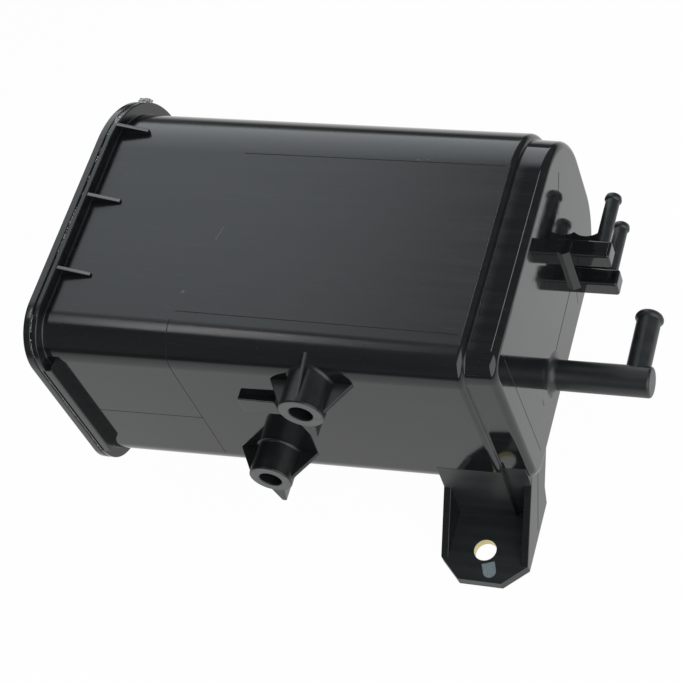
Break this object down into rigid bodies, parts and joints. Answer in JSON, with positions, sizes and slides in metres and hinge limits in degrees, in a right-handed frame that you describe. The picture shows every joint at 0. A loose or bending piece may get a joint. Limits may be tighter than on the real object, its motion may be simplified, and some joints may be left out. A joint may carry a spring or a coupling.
{
  "type": "charcoal canister",
  "caption": "Black moulded fuel-vapour canister: drafted case with weld rim, upturned hose nozzles, side bosses and a bolt lug, packed with charcoal between foam, plates and springs.",
  "frame": {"origin": "middle of the welded cover's flat outer face", "axes": "+X along the case from the cover to the port end, +Y to the wide-cornered far side where the nozzles point, +Z out of the upper broad face"},
  "size_m": [0.3077, 0.2244, 0.1535],
  "materials": {
    "case": "glossy moulded nylon",
    "cover": "satin moulded nylon",
    "bush": "yellow passivated steel",
    "charcoal": "charcoal pellets",
    "foam": "open foam",
    "plate": "moulded nylon",
    "spring": "spring wire"
  },
  "bodies": {
    "root": {"case": "case", "cover": "cover", "lug_bush": "bush", "charcoal_main": "charcoal", "charcoal_vent": "charcoal", "port_foam_main": "foam", "port_foam_vent": "foam", "rear_foam_main": "foam", "rear_foam_vent": "foam", "plate_main": "plate", "plate_vent": "plate", "spring_main_low": "spring", "spring_main_high": "spring", "spring_vent": "spring"}
  },
  "joints": []
}
